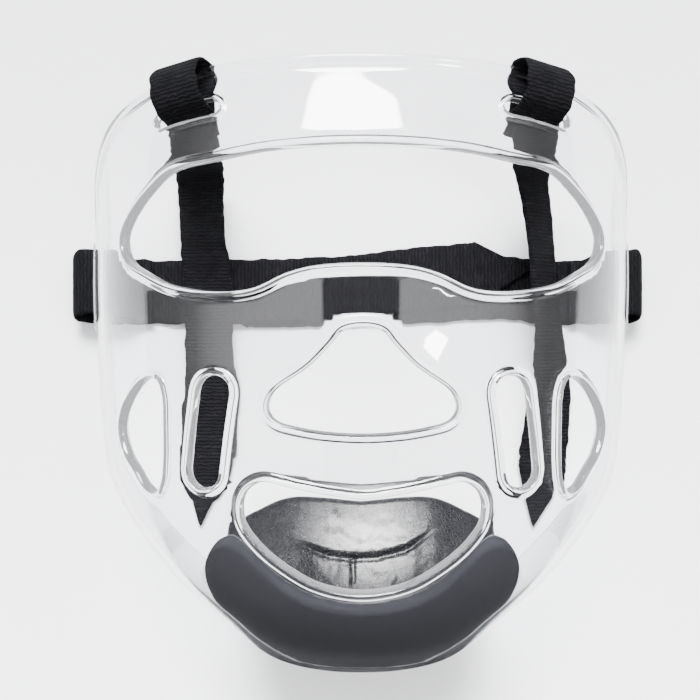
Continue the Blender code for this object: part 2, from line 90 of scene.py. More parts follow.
# Right half of each opening's edge from its top middle: shares of half its width and its height
EYE_EDGE = [
    # across, down
    (0.000, 0.000), (0.300, 0.016), (0.520, 0.054), (0.700, 0.066), (0.830, 0.180), (0.940, 0.310),
    (0.996, 0.420), (1.000, 0.530), (0.950, 0.670), (0.850, 0.785), (0.738, 0.893), (0.636, 0.950),
    (0.533, 0.985), (0.430, 0.995), (0.350, 0.967), (0.254, 0.886), (0.150, 0.838), (0.000, 0.822),
]
NOSE_EDGE = [
    # across, down
    (0.000, 0.000), (0.200, 0.035), (0.320, 0.155), (0.464, 0.287), (0.630, 0.414), (0.884, 0.566),
    (0.972, 0.658), (1.000, 0.741), (0.980, 0.820), (0.896, 0.890), (0.720, 0.934), (0.400, 0.980),
    (0.000, 1.000),
]
MOUTH_EDGE = [
    # across, down
    (0.000, 0.137), (0.213, 0.112), (0.456, 0.068), (0.678, 0.019), (0.809, 0.000), (0.921, 0.057),
    (0.982, 0.153), (1.000, 0.249), (0.994, 0.377), (0.942, 0.495), (0.830, 0.637), (0.653, 0.784),
    (0.468, 0.899), (0.250, 0.970), (0.000, 1.000),
]
# Whole edge of a side vent: shares of its width and length
SIDE_VENT_EDGE = [
    # outwards, down
    (0.00, 0.16), (0.00, 0.40), (0.03, 0.66), (0.09, 0.88), (0.22, 1.00), (0.42, 0.98),
    (0.64, 0.84), (0.88, 0.70), (1.00, 0.51), (0.90, 0.32), (0.64, 0.14), (0.34, 0.01), (0.10, 0.01),
]
# Sizes across and down
EYE_SIZE = (0.178, 0.0484)
NOSE_SIZE = (0.0566, 0.0346)
MOUTH_SIZE = (0.0764, 0.0380)
CHEEK_VENT_SIZE = (0.0385, 0.0112)
CHEEK_VENT_TILT = math.radians(10)
SIDE_VENT_SIZE = (0.0270, 0.0410)
SLOT_HEIGHT = 0.0050
SLOT_ROOM = 0.0030
BROW_BAR = 0.0140
SIDE_BAR = 0.0090
BROW_STRAP_WIDTH = 0.0190
SIDE_STRAP_WIDTH = 0.0250
# Places: shares of HALF_GIRTH across and of the sheet's length down
EYE_TOP = 0.1409
NOSE_TOP = 0.394
MOUTH_TOP = 0.6045
CHEEK_VENT_PLACE = (0.299, 0.538)
SIDE_VENT_PLACE = (0.415, 0.547)
BROW_SLOT_ACROSS = 0.354
SIDE_SLOT_DOWN = 0.226

crown = np.array([(row[0] * HEIGHT / 2, row[1] * DEPTH) for row in SECTIONS])
lengths = np.concatenate([[0.0], np.cumsum(np.hypot(*np.diff(crown, axis=0).T))])
SHEET = lengths[-1]


def blend(rows, t):
    """Smooth curve through rows of numbers, at the row numbers t."""
    rows = np.asarray(rows, float)
    t = np.asarray(t, float)
    i = np.clip(t.astype(int), 0, len(rows) - 2)
    f = (t - i)[..., None]
    b, c = rows[i], rows[i + 1]
    a = np.where((i > 0)[..., None], rows[np.maximum(i - 1, 0)], 2 * b - c)
    d = np.where((i < len(rows) - 2)[..., None], rows[np.minimum(i + 2, len(rows) - 1)], 2 * c - b)
    curve = 2 * b + (c - a) * f + (2 * a - 5 * b + 4 * c - d) * f ** 2
    return 0.5 * (curve + (3 * b - a - 3 * c + d) * f ** 3)


def unit(vectors):
    """Vectors of length one in the same directions."""
    return vectors / np.linalg.norm(vectors, axis=-1, keepdims=True)


def sheet_point(places):
    """Points of the shell's inner face at places (across, down) on the sheet."""
    places = np.asarray(places, float)
    t = np.interp(places[..., 1], lengths, np.arange(len(lengths)))
    crown_y, crown_z, rim_x, rim_y, rim_z, full = np.moveaxis(blend(SECTIONS, t), -1, 0)
    turn = places[..., 0] / HALF_GIRTH * math.pi / 2
    s, c = np.sin(turn), np.cos(turn)
    x = HALF_WIDTH * rim_x * (s + full * s * c * c)
    y = HEIGHT / 2 * (crown_y + (rim_y - crown_y) * np.maximum(1 - c, 0) ** TURN)
    z = LIFT + DEPTH * (crown_z + (rim_z - crown_z) * (1 - c))
    return np.stack([x, y, z], -1)


def sheet_slopes(places):
    """How the points move for a step across and for a step down."""
    places = np.asarray(places, float)
    e = 0.0004
    side = np.array([e, 0.0])
    slope_across = (sheet_point(places + side) - sheet_point(places - side)) / (2 * e)
    low, high = places.copy(), places.copy()
    low[..., 1] = np.maximum(places[..., 1] - e, 0.0)
    high[..., 1] = np.minimum(places[..., 1] + e, SHEET)
    step = (high[..., 1] - low[..., 1])[..., None]
    return slope_across, (sheet_point(high) - sheet_point(low)) / step


def sheet_normal(places):
    """Directions straight out of the shell."""
    slope_across, slope_down = sheet_slopes(places)
    return unit(np.cross(slope_down, slope_across))


def sheet_shift(places, move):
    """Places on the sheet after short moves given as vectors."""
    a, d = sheet_slopes(places)
    aa, dd, ad = (a * a).sum(-1), (d * d).sum(-1), (a * d).sum(-1)
    ma, md = (move * a).sum(-1), (move * d).sum(-1)
    area = aa * dd - ad ** 2
    steps = np.stack([(ma * dd - md * ad) / area, (md * aa - ma * ad) / area], -1)
    return np.asarray(places, float) + steps


def closed_curve(points, step):
    """Closed smooth curve through points on the sheet, in steps of about that length."""
    points = [tuple(p) for p in points]
    rows = [points[-1]] + points + points[:2]
    path = []
    for i, (a, b) in enumerate(zip(points, points[1:] + points[:1])):
        count = max(1, round(math.dist(a, b) / step))
        path.append(blend(rows, i + 1 + np.arange(count) / count))
    return np.concatenate(path)


def whole_edge(half, top, size):
    """Edge of an opening across the middle, from its right half."""
    right = [(a * size[0] / 2, top + d * size[1]) for a, d in half]
    return right + [(-a, d) for a, d in reversed(right) if a > 0]


def stadium(centre, long_way, wide_way, length, width):
    """Rounded slot round a place on the sheet, with its real length and width."""
    moves = []
    for end in (1, -1):
        for n in range(7):
            turn = math.pi * (n / 6 - 0.5)
            reach = (length - width) / 2 + width / 2 * math.cos(turn)
            moves.append(end * (long_way * reach + wide_way * width / 2 * math.sin(turn)))
        for share in (0.8, 0.4, 0.0, -0.4, -0.8):
            moves.append(end * (long_way * share * (length - width) / 2 + wide_way * width / 2))
    return [sheet_shift(centre, move) for move in moves]


def slot_frame(place, along_rim):
    """Directions at a slot: along it, towards the rim it stands by, and out of the shell."""
    out = sheet_normal(place)
    slope_across, slope_down = sheet_slopes(place)
    if along_rim:
        along = unit(slope_down)
        to_rim = -math.copysign(1, place[0]) * np.cross(out, along)
    else:
        along = unit(slope_across)
        to_rim = -np.cross(along, out)
    return along, unit(to_rim), out


def brow_slot_place(side):
    return np.array([side * BROW_SLOT_ACROSS * HALF_GIRTH, BROW_BAR + SLOT_HEIGHT / 2])


def side_slot_place(side):
    rim = np.array([side * HALF_GIRTH, SIDE_SLOT_DOWN * SHEET])
    slope = np.linalg.norm(sheet_slopes(rim)[0])
    return rim - np.array([side * (SIDE_BAR + SLOT_HEIGHT / 2) / slope, 0.0])


# Bead along each kind of opening: its width and its rise over the wall
BEADS = {"wide": (0.0040, BEAD_RISE), "vent": (0.0036, 0.0014), "slot": (0.0026, 0.0009)}
RIM_BEAD = (0.0052, 0.0017)
# Distances from an edge at which the mesh has rows of points, to carry the bead
BEAD_ROWS = np.array([0.00007, 0.00025, 0.0005, 0.0008, 0.0011, 0.0015, 0.0020, 0.0026, 0.0033,
                      0.0040, 0.0047])
RIM_STRETCH = 1.25
EDGE_ROUND = 0.0010
FINE_STEP = 0.0012
SHEET_STEP = 0.0026
# Nearest that a point of the grid and of a row may stand to another
GRID_ROOM = 0.0009
ROW_ROOM = 0.00004
CORNER_STEPS = 32


def shell_openings():
    """Edge of every opening on the sheet, with its kind of bead."""
    edges = [(whole_edge(EYE_EDGE, EYE_TOP * SHEET, EYE_SIZE), "wide"),
             (whole_edge(NOSE_EDGE, NOSE_TOP * SHEET, NOSE_SIZE), "wide"),
             (whole_edge(MOUTH_EDGE, MOUTH_TOP * SHEET, MOUTH_SIZE), "wide")]
    for side in (1, -1):
        centre = np.array([side * CHEEK_VENT_PLACE[0] * HALF_GIRTH, CHEEK_VENT_PLACE[1] * SHEET])
        out = sheet_normal(centre)
        down = unit(sheet_slopes(centre)[1])
        wide = np.cross(out, down)
        tilt = side * CHEEK_VENT_TILT
        edges.append((stadium(centre, down * math.cos(tilt) + wide * math.sin(tilt),
                              wide * math.cos(tilt) - down * math.sin(tilt), *CHEEK_VENT_SIZE), "vent"))
        inner = SIDE_VENT_PLACE[0] * HALF_GIRTH
        top = SIDE_VENT_PLACE[1] * SHEET - SIDE_VENT_SIZE[1] / 2
        edges.append(([(side * (inner + a * SIDE_VENT_SIZE[0]), top + d * SIDE_VENT_SIZE[1])
                       for a, d in SIDE_VENT_EDGE], "vent"))
        for place, along_rim, strap in ((brow_slot_place(side), False, BROW_STRAP_WIDTH),
                                        (side_slot_place(side), True, SIDE_STRAP_WIDTH)):
            along, to_rim, out = slot_frame(place, along_rim)
            edges.append((stadium(place, along, to_rim, strap + 2 * SLOT_ROOM, SLOT_HEIGHT), "slot"))
    return [(closed_curve(edge, FINE_STEP), kind) for edge, kind in edges]


def shell_border():
    """The sheet's own edge, a rectangle with corners rounded across and down."""
    border = []
    for across, down, corner, start in ((1, 0, BROW_CORNER, -90), (1, 1, CHIN_CORNER, 0),
                                        (-1, 1, CHIN_CORNER, 90), (-1, 0, BROW_CORNER, 180)):
        middle_a = across * (HALF_GIRTH - corner[0])
        middle_d = SHEET - corner[1] if down else corner[1]
        for n in range(CORNER_STEPS + 1):
            turn = math.radians(start + n * 90 / CORNER_STEPS)
            border.append((middle_a + math.cos(turn) * corner[0], middle_d + math.sin(turn) * corner[1]))
    full = []
    for a, b in zip(border, border[1:] + border[:1]):
        count = max(1, round(math.dist(a, b) / FINE_STEP))
        full += [(a[0] + (b[0] - a[0]) * n / count, a[1] + (b[1] - a[1]) * n / count)
                 for n in range(count)]
    return np.array(full)


def rings_beside(edge, distances, into=False):
    """Rows of places at distances beside a closed edge: outside it, or inside with into."""
    ahead, behind = np.roll(edge, -1, 0), np.roll(edge, 1, 0)
    area = (edge[:, 0] * ahead[:, 1] - ahead[:, 0] * edge[:, 1]).sum()
    along = unit(sheet_point(ahead) - sheet_point(behind))
    outwards = -np.cross(along, sheet_normal(edge)) * math.copysign(1, area)
    if into:
        outwards = -outwards
    return [sheet_shift(edge, unit(outwards) * distance) for distance in distances]


def within(places, loop):
    """Which places on the sheet lie within a closed loop."""
    hit = np.zeros(len(places), bool)
    a = np.asarray(loop)
    b = np.roll(a, -1, 0)
    for (a0, d0), (a1, d1) in zip(a, b):
        if d0 != d1:
            spans = (d0 > places[:, 1]) != (d1 > places[:, 1])
            hit ^= spans & (places[:, 0] < a0 + (places[:, 1] - d0) / (d1 - d0) * (a1 - a0))
    return hit


def distance_to(points, line):
    """Distance of each point from a closed line of points."""
    tree = KDTree(len(line))
    for n, p in enumerate(line):
        tree.insert(p, n)
    tree.balance()
    near = np.array([tree.find(p)[1] for p in points])
    best = None
    for step in (-1, 1):
        a, b = line[near], line[(near + step) % len(line)]
        span = b - a
        share = np.clip(((points - a) * span).sum(-1) / (span * span).sum(-1), 0, 1)[:, None]
        far = np.linalg.norm(points - a - span * share, axis=-1)
        best = far if best is None else np.minimum(best, far)
    return best


def bead_shape(share):
    """Height of a bead, from the cut edge at 0 over its top to its foot at 1."""
    top = 0.4
    share = np.clip(share, 0, 1)
    near = np.sqrt(np.clip(1 - (1 - share / top) ** 2, 0, 1))
    foot = 0.5 * (1 + np.cos(math.pi * (share - top) / (1 - top)))
    return np.where(share < top, near, foot)


def mesh_piece(name, verts, faces, finish, flat_map=None):
    """Object of one smooth mesh, riding with the rest of the part. flat_map is each vertex's UV."""
    mesh = bpy.data.meshes.new(name)
    mesh.from_pydata([tuple(v) for v in verts], [], [tuple(int(n) for n in f) for f in faces])
    if flat_map is not None:
        corners = np.empty(len(mesh.loops), int)
        mesh.loops.foreach_get("vertex_index", corners)
        uv = np.asarray(flat_map, float)[corners]
        mesh.uv_layers.new(name="UVMap").data.foreach_set("uv", uv.ravel())
    mesh.validate()
    mesh.shade_smooth()
    mesh.materials.append(finish)
    piece = bpy.data.objects.new(name, mesh)
    bpy.context.scene.collection.objects.link(piece)
    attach(piece, "root")
    return piece


def new_material(name):
    """New node material, its node tree and its Principled shader."""
    made = bpy.data.materials.new(name)
    made.use_nodes = True
    return made, made.node_tree, made.node_tree.nodes["Principled BSDF"]


def link_chain(tree, *links):
    """Links of outputs to inputs in one material."""
    for source, target in links:
        tree.links.new(source, target)


# Bounces in the sheet after which its light is no longer followed, and a painted pale glow takes its place
BOUNCES_INSIDE = 4.5


def clear_plastic():
    """Clear polycarbonate, polished: lets light through to what lies behind it."""
    made, tree, shader = new_material("clear_plastic")
    shader.inputs["Base Color"].default_value = (0.955, 0.960, 0.975, 1)
    shader.inputs["Roughness"].default_value = 0.015
    shader.inputs["Transmission Weight"].default_value = 1.0
    shader.inputs["IOR"].default_value = 1.58
    output = tree.nodes["Material Output"]
    path = tree.nodes.new("ShaderNodeLightPath")
    # Past that many bounces the sheet glows with a painted pale light, standing in for light led along
    # inside it to its edges
    deep_bounces = tree.nodes.new("ShaderNodeMath")
    deep_bounces.operation = "GREATER_THAN"
    deep_bounces.inputs[1].default_value = BOUNCES_INSIDE
    painted_glow = tree.nodes.new("ShaderNodeEmission")
    painted_glow.inputs["Color"].default_value = (0.70, 0.705, 0.73, 1)
    inside = tree.nodes.new("ShaderNodeMixShader")
    # Shadows under it are faint
    shadow = tree.nodes.new("ShaderNodeBsdfTransparent")
    shadow.inputs["Color"].default_value = (0.93, 0.935, 0.945, 1)
    mix = tree.nodes.new("ShaderNodeMixShader")
    link_chain(tree, (path.outputs["Ray Depth"], deep_bounces.inputs[0]), (deep_bounces.outputs[0], inside.inputs["Fac"]),
               (shader.outputs["BSDF"], inside.inputs[1]), (painted_glow.outputs["Emission"], inside.inputs[2]),
               (path.outputs["Is Shadow Ray"], mix.inputs["Fac"]), (inside.outputs["Shader"], mix.inputs[1]),
               (shadow.outputs["BSDF"], mix.inputs[2]), (mix.outputs["Shader"], output.inputs["Surface"]))
    return made


def make_shell():
    """The sheet with its openings, bent to the face. Returns the shift that centres the part."""
    edges = shell_openings()
    border = shell_border()
    loops = [edge for edge, _ in edges] + [border]
    rings = []
    for edge, kind in edges:
        reach = BEADS[kind][0] * 1.15
        rings += rings_beside(edge, BEAD_ROWS[BEAD_ROWS < reach])
    rings += rings_beside(border, BEAD_ROWS * RIM_STRETCH, into=True)
    columns, rows = round(2 * HALF_GIRTH / SHEET_STEP), round(SHEET / SHEET_STEP)
    across, down = np.meshgrid(np.linspace(-HALF_GIRTH, HALF_GIRTH, columns + 1)[1:-1],
                               np.linspace(0, SHEET, rows + 1)[1:-1])
    grid = np.stack([across.ravel(), down.ravel()], -1)
    extra = np.concatenate(rings + [grid])
    extra = extra[within(extra, border)]
    for edge, _ in edges:
        extra = extra[~within(extra, edge)]
    fixed = np.concatenate(loops)
    # Leave out places that crowd an earlier one
    tree = KDTree(len(fixed) + len(extra))
    everything = np.concatenate([fixed, extra])
    for n, (a, d) in enumerate(everything):
        tree.insert((a, d, 0.0), n)
    tree.balance()
    dropped = np.zeros(len(everything), bool)
    for n in range(len(fixed), len(everything)):
        room = GRID_ROOM if n >= len(everything) - len(grid) else ROW_ROOM
        for _, other, _ in tree.find_range((*everything[n], 0.0), room):
            if other < n and not dropped[other]:
                dropped[n] = True
                break
    places = everything[~dropped]
    wires = []
    first = 0
    for loop in loops:
        wires += [(first + n, first + (n + 1) % len(loop)) for n in range(len(loop))]
        first += len(loop)
    flat, _, faces, _, _, _ = delaunay_2d_cdt([Vector(p) for p in places], wires, [], 0, 1e-8)
    flat = np.array([tuple(p) for p in flat])
    faces = np.array([f for f in faces if len(f) == 3])
    middles = flat[faces].mean(1)
    keep = within(middles, border)
    for edge, _ in edges:
        keep &= ~within(middles, edge)
    faces = faces[keep][:, ::-1]
    used, faces = np.unique(faces, return_inverse=True)
    faces = faces.reshape(-1, 3)
    flat = flat[used]
    inner = sheet_point(flat)
    normal = sheet_normal(flat)
    fade = np.clip(1.0 - flat[:, 1] / (0.8 * SHEET), 0, 1)
    to_border = distance_to(inner, sheet_point(border))
    rise = RIM_BEAD[1] * fade * bead_shape(to_border / RIM_BEAD[0])
    nearest = to_border
    for edge, kind in edges:
        far = distance_to(inner, sheet_point(edge))
        rise = np.maximum(rise, BEADS[kind][1] * bead_shape(far / BEADS[kind][0]))
        nearest = np.minimum(nearest, far)
    round_off = np.sqrt(np.clip(1 - (1 - np.clip(nearest / EDGE_ROUND, 0, 1)) ** 2, 0, 1))
    middle = WALL / 2
    outside = inner + normal * (middle + (middle + rise) * round_off)[:, None]
    inside = inner + normal * (middle - middle * round_off)[:, None]
    # The two faces share the points of the cut edges
    pairs = np.sort(np.concatenate([faces[:, [0, 1]], faces[:, [1, 2]], faces[:, [2, 0]]]), axis=1)
    pairs, count = np.unique(pairs, axis=0, return_counts=True)
    shared = np.zeros(len(flat), bool)
    shared[pairs[count == 1].ravel()] = True
    outside[shared] = (inner + normal * middle)[shared]
    number = np.where(shared, np.arange(len(flat)), 0)
    number[~shared] = len(flat) + np.arange((~shared).sum())
    verts = np.concatenate([outside, inside[~shared]])
    all_faces = np.concatenate([faces, number[faces][:, ::-1]])
    centre = (verts.max(0) + verts.min(0)) / 2 * np.array([1, 1, 0])
    shell = mesh_piece("clear_shell", verts - centre, all_faces, clear_plastic())
    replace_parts(shell, "shell")
    return centre


shell_centre = make_shell()

# Straps: black hook-and-loop webbing, 1.5 mm thick. Each is looped round the bar of its slot and
# sewn back on itself, and its tail is cut to a point.
WEB_STEP = 0.0008
WEB_COLUMNS = 22
KEY_STEPS = 30
POINT_ROWS = 24
POINT_ROOM = 0.004
# How uneven the selvages are, how quickly that changes along the strap, and how near the edge it stays
SELVAGE_WAVE = 0.0007
SELVAGE_PACE = 260
SELVAGE_POWER = 6
POINT_LENGTH = 0.0300
SIDE_POINT_LENGTH = 0.0220
BROW_STRAP_RUN = 0.1515
SIDE_STRAP_RUN = 0.1690
LOOP_RISE = 0.0100
LOOP_REACH = 0.0088
LAYER = STRAP_THICKNESS + STRAP_GAP
# The right side loop stands out less than the left one
RIGHT_LOOP_SHORT = 0.0026
# Loop round the bar above a brow slot: shares of the bar, of LOOP_RISE and of the slot's height
BROW_LOOP = [
    # to rim, out, drop
    (-0.30, 0.00, 0.440), (-0.06, 0.00, 0.260), (0.30, 0.00, 0.100), (0.72, -0.40, 0.000),
    (0.98, -0.34, 0.000), (1.10, -0.08, 0.000), (1.13, 0.26, 0.000), (1.04, 0.72, 0.000),
    (0.76, 1.00, 0.000), (0.41, 0.98, 0.000), (0.15, 0.74, 0.000), (0.01, 0.30, 0.000),
    (-0.05, -0.14, 0.000),
]
# Tails from slot to point: shares of the run, of the strap's width and of the slot's height,
# side straps lying under it, and roll in degrees
BROW_TAILS = {
    -1: [
        # along, sideways, height, layers, roll
        (0.012, 0.00, 0.910, 0.0, 26), (0.028, -0.01, 0.760, 0.0, 22), (0.045, -0.04, 0.580, 0.0, 14),
        (0.062, -0.08, 0.380, 0.0, 8), (0.082, -0.11, 0.180, 0.0, 6), (0.118, -0.12, 0.070, 0.0, 14),
        (0.180, -0.11, 0.055, 0.5, 22), (0.260, -0.06, 0.048, 1.9, 18), (0.385, 0.03, 0.016, 2.0, 6),
        (0.500, 0.04, 0.014, 2.0, 5), (0.620, 0.04, 0.020, 0.8, 8), (0.760, 0.06, 0.020, 0.0, 8),
        (0.890, 0.07, 0.012, 0.0, 5), (1.000, 0.07, 0.004, 0.0, 2),
    ],
    1: [
        # along, sideways, height, layers, roll
        (0.012, 0.06, 0.920, 0.0, -25), (0.030, 0.09, 0.780, 0.0, -25), (0.055, 0.14, 0.600, 0.0, -28),
        (0.085, 0.20, 0.400, 0.0, -36), (0.125, 0.31, 0.240, 0.0, -46), (0.180, 0.42, 0.150, 0.5, -48),
        (0.260, 0.50, 0.100, 2.0, -52), (0.385, 0.58, 0.098, 2.0, -53), (0.500, 0.68, 0.090, 2.0, -47),
        (0.620, 0.72, 0.070, 0.8, -30), (0.760, 0.64, 0.030, 0.0, -12), (0.880, 0.57, 0.010, 0.0, -4),
        (1.000, 0.57, 0.004, 0.0, -2),
    ],
}
# Point of each brow strap: its place across, and shares of POINT_LENGTH by which its corners stand back
BROW_POINTS = {-1: (-0.50, 0.65, 1.00), 1: (-0.30, 0.85, 0.65)}
# Loop round the bar beside a side slot: shares of LOOP_REACH, of the slot's height and of the
# strap's width
SIDE_LOOP = [
    # out, height, upwards
    (-2.35, 0.255, -0.05), (-2.00, 0.265, -0.05), (-1.57, 0.42, -0.02), (-1.12, 0.76, 0.03),
    (-0.60, 0.97, 0.08), (0.20, 1.04, 0.09), (0.76, 0.90, 0.08), (1.00, 0.56, 0.03),
    (0.80, 0.22, -0.02), (0.36, 0.080, -0.05), (-0.30, 0.074, -0.06),
]
SIDE_TAILS = {
    -1: [
        # along, upwards, layers
        (0.08, -0.06, 0.0), (0.14, -0.06, 0.0), (0.21, -0.05, 1.0), (0.34, -0.04, 1.0),
        (0.47, -0.02, 1.0), (0.60, 0.04, 1.0), (0.80, 0.19, 1.0), (1.00, 0.30, 1.0),
    ],
    1: [
        # along, upwards, layers
        (0.08, -0.06, 0.0), (0.18, -0.05, 0.0), (0.28, 0.02, 0.0), (0.37, 0.00, 0.0), (0.50, -0.06, 0.0),
        (0.80, -0.10, 0.0), (1.00, -0.11, 0.0),
    ],
}


def webbing_finish():
    """Black woven nylon: dull, with ribs across the strap and a fine pile over them."""
    made, tree, shader = new_material("black_webbing")
    shader.inputs["Specular IOR Level"].default_value = 0.03
    place = tree.nodes.new("ShaderNodeUVMap")
    ribs = tree.nodes.new("ShaderNodeTexWave")
    ribs.wave_type = "BANDS"
    ribs.bands_direction = "Y"
    ribs.inputs["Scale"].default_value = 230.0
    ribs.inputs["Distortion"].default_value = 5.0
    ribs.inputs["Detail"].default_value = 3.0
    ribs.inputs["Detail Scale"].default_value = 2.0
    pile = tree.nodes.new("ShaderNodeTexNoise")
    pile.inputs["Scale"].default_value = 1500.0
    pile.inputs["Detail"].default_value = 4.0
    wear = tree.nodes.new("ShaderNodeTexNoise")
    wear.inputs["Scale"].default_value = 160.0
    wear.inputs["Detail"].default_value = 3.0
    height = tree.nodes.new("ShaderNodeMath")
    height.operation = "MULTIPLY_ADD"
    height.inputs[1].default_value = 0.55
    bump = tree.nodes.new("ShaderNodeBump")
    bump.inputs["Strength"].default_value = 0.9
    bump.inputs["Distance"].default_value = 0.00025
    tone = tree.nodes.new("ShaderNodeMix")
    tone.data_type = "RGBA"
    tone.inputs["A"].default_value = (0.0022, 0.0022, 0.0026, 1)
    tone.inputs["B"].default_value = (0.0095, 0.0095, 0.0110, 1)
    dull = tree.nodes.new("ShaderNodeMapRange")
    dull.inputs["To Min"].default_value = 0.75
    dull.inputs["To Max"].default_value = 1.0
    mixed = tree.nodes.new("ShaderNodeMath")
    mixed.operation = "MULTIPLY"
    link_chain(tree, (place.outputs["UV"], ribs.inputs["Vector"]),
               (place.outputs["UV"], pile.inputs["Vector"]), (place.outputs["UV"], wear.inputs["Vector"]),
               (pile.outputs["Fac"], height.inputs[0]), (ribs.outputs["Fac"], height.inputs[2]),
               (height.outputs[0], bump.inputs["Height"]), (bump.outputs["Normal"], shader.inputs["Normal"]),
               (height.outputs[0], mixed.inputs[0]), (wear.outputs["Fac"], mixed.inputs[1]),
               (mixed.outputs[0], tone.inputs["Factor"]),
               (tone.outputs["Result"], shader.inputs["Base Color"]),
               (wear.outputs["Fac"], dull.inputs["Value"]),
               (dull.outputs["Result"], shader.inputs["Roughness"]))
    return made


webbing = webbing_finish()


def make_webbing(name, keys, width, point):
    """Strap along keys of (middle, direction across), with rounded selvages and a cut point."""
    rows = np.array([(*middle, *across) for middle, across in keys])
    fine = blend(rows, np.linspace(0, len(rows) - 1, KEY_STEPS * len(rows)))
    run = np.concatenate([[0.0], np.cumsum(np.linalg.norm(np.diff(fine[:, :3], axis=0), axis=1))])
    tip_share, left_back, right_back = point
    share = np.linspace(-1, 1, WEB_COLUMNS + 1)
    back = np.interp(share, (-1, tip_share, 1), (left_back, 0.0, right_back))
    straight = run[-1] - max(left_back, right_back) - POINT_ROOM
    even = np.linspace(0, straight, round(straight / WEB_STEP) + 1)
    cut = np.linspace(0, 1, POINT_ROWS)[1:, None]
    distance = np.concatenate([np.repeat(even[:, None], len(share), 1),
                               straight + cut * (run[-1] - back - straight)])
    placed = np.stack([np.interp(distance, run, fine[:, k]) for k in range(6)], -1)
    across = unit(placed[..., 3:])
    middle = placed[..., :3] - shell_centre
    seed = random.Random(name).random() * 50
    uneven = np.array([[noise.noise((seed + d * SELVAGE_PACE, side * 9.0, 0.3)) for side in (-1, 1)]
                       for d in distance[:, WEB_COLUMNS // 2]])
    spread = np.where(share[None, :] < 0, uneven[:, :1], uneven[:, 1:]) * SELVAGE_WAVE
    spread = spread * abs(share[None, :]) ** SELVAGE_POWER
    middle = middle + across * (share[None, :] * (width / 2) + np.sign(share)[None, :] * spread)[..., None]
    along = unit(np.gradient(middle, axis=0))
    out = unit(np.cross(across, along))
    # The selvages are rounded
    thinning = np.where(abs(share) > 0.99, 0.35, np.where(abs(share) > 0.9, 0.85, 1.0))
    half = STRAP_THICKNESS / 2 * thinning
    middle[..., 2] = np.maximum(middle[..., 2], STRAP_THICKNESS / 2)
    top = middle + out * half[:, None]
    bottom = middle - out * half[:, None]
    ring = np.concatenate([top, bottom[:, ::-1]], axis=1)
    count, wide = ring.shape[:2]
    verts = ring.reshape(-1, 3)
    faces = []
    for n in range(count - 1):
        for m in range(wide):
            a, b = n * wide + m, n * wide + (m + 1) % wide
            faces.append((a, b, b + wide, a + wide))
    for n in (0, count - 1):
        for m in range(WEB_COLUMNS):
            a, b = n * wide + m, n * wide + m + 1
            c, d = n * wide + wide - 2 - m, n * wide + wide - 1 - m
            faces.append((a, d, c, b) if n == 0 else (a, b, c, d))
    flat_map = np.stack([np.concatenate([share, share[::-1]])[None, :].repeat(count, 0) * width / 2,
                         np.concatenate([distance, distance[:, ::-1]], axis=1)], -1).reshape(-1, 2)
    return mesh_piece(name, verts, faces, webbing, flat_map)


def make_brow_strap(side, name):
    """Strap looped over the bar above a brow slot, its tail let down to lie on the table."""
    place = brow_slot_place(side)
    along, to_rim, out = slot_frame(place, False)
    if along[0] < 0:
        along = -along
    slot = sheet_point(place)
    bar = np.linalg.norm(sheet_point((place[0], 0.0)) - slot)
    up = np.array([0.0, 0.0, 1.0])
    keys = [(slot + to_rim * (a * bar) + out * (b * LOOP_RISE) - up * (drop * slot[2]), along)
            for a, b, drop in BROW_LOOP]
    for share, sideways, height, layers, roll in BROW_TAILS[side]:
        middle = (slot[0] + sideways * BROW_STRAP_WIDTH, slot[1] - share * BROW_STRAP_RUN,
                  STRAP_THICKNESS / 2 + layers * LAYER + height * slot[2])
        turn = math.radians(roll)
        keys.append((middle, (math.cos(turn), 0.0, math.sin(turn))))
    tip, left_back, right_back = BROW_POINTS[side]
    point = (tip, left_back * POINT_LENGTH, right_back * POINT_LENGTH)
    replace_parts(make_webbing(name + "_webbing", keys, BROW_STRAP_WIDTH, point), name)


def make_side_strap(side, name):
    """Strap looped round the bar beside a side slot, its tail laid across the table."""
    slot = sheet_point(side_slot_place(side))
    rim = sheet_point((side * HALF_GIRTH, SIDE_SLOT_DOWN * SHEET))
    edge = abs(rim[0]) + WALL
    keys = []
    for out, height, upwards in SIDE_LOOP:
        reach = out * LOOP_REACH - (RIGHT_LOOP_SHORT if side > 0 and out > 0 else 0.0)
        keys.append(((side * (edge + reach), slot[1] + upwards * SIDE_STRAP_WIDTH, height * slot[2]),
                     (0.0, 1.0, 0.0)))
    for share, upwards, layers in SIDE_TAILS[side]:
        keys.append(((side * (edge - share * SIDE_STRAP_RUN), slot[1] + upwards * SIDE_STRAP_WIDTH,
                      STRAP_THICKNESS / 2 + layers * LAYER), (0.0, 1.0, 0.0)))
    point = (0.0, SIDE_POINT_LENGTH, SIDE_POINT_LENGTH)
    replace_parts(make_webbing(name + "_webbing", keys, SIDE_STRAP_WIDTH, point), name)


make_brow_strap(-1, "brow_strap_left")
make_brow_strap(1, "brow_strap_right")
make_side_strap(-1, "side_strap_left")
make_side_strap(1, "side_strap_right")

# Chin cup: 8 mm of foam in a skin of grained black vinyl, stuck to the shell's inside under the
# mouth and folded in to a flap that goes under the chin.
CUP_THICKNESS = 0.0080
CUP_GAP = 0.0004
CUP_HALF_WIDTH = 0.0560
CUP_FLAP_HEIGHT = 0.0050
CUP_TUCK = 0.010
CUP_COLUMNS = 180
CUP_ROWS = 80
CUP_ROUND = 0.0030
# The lining's reach past CUP_HALF_WIDTH, and the handles of the curve from its low line to the
# flap's free edge: down the wall, along the flap, turned in towards the middle, and rising
LINING_REACH = 1.1
WALL_HANDLE = 0.27
FLAP_HANDLE = 0.45
FLAP_TURN = 0.3
CUP_SLOPE = 0.50
CUP_SMOOTHING = 30
# Share of the lining's rows up to which the outer face is stuck to the shell
BONDED_SHARE = 1.12
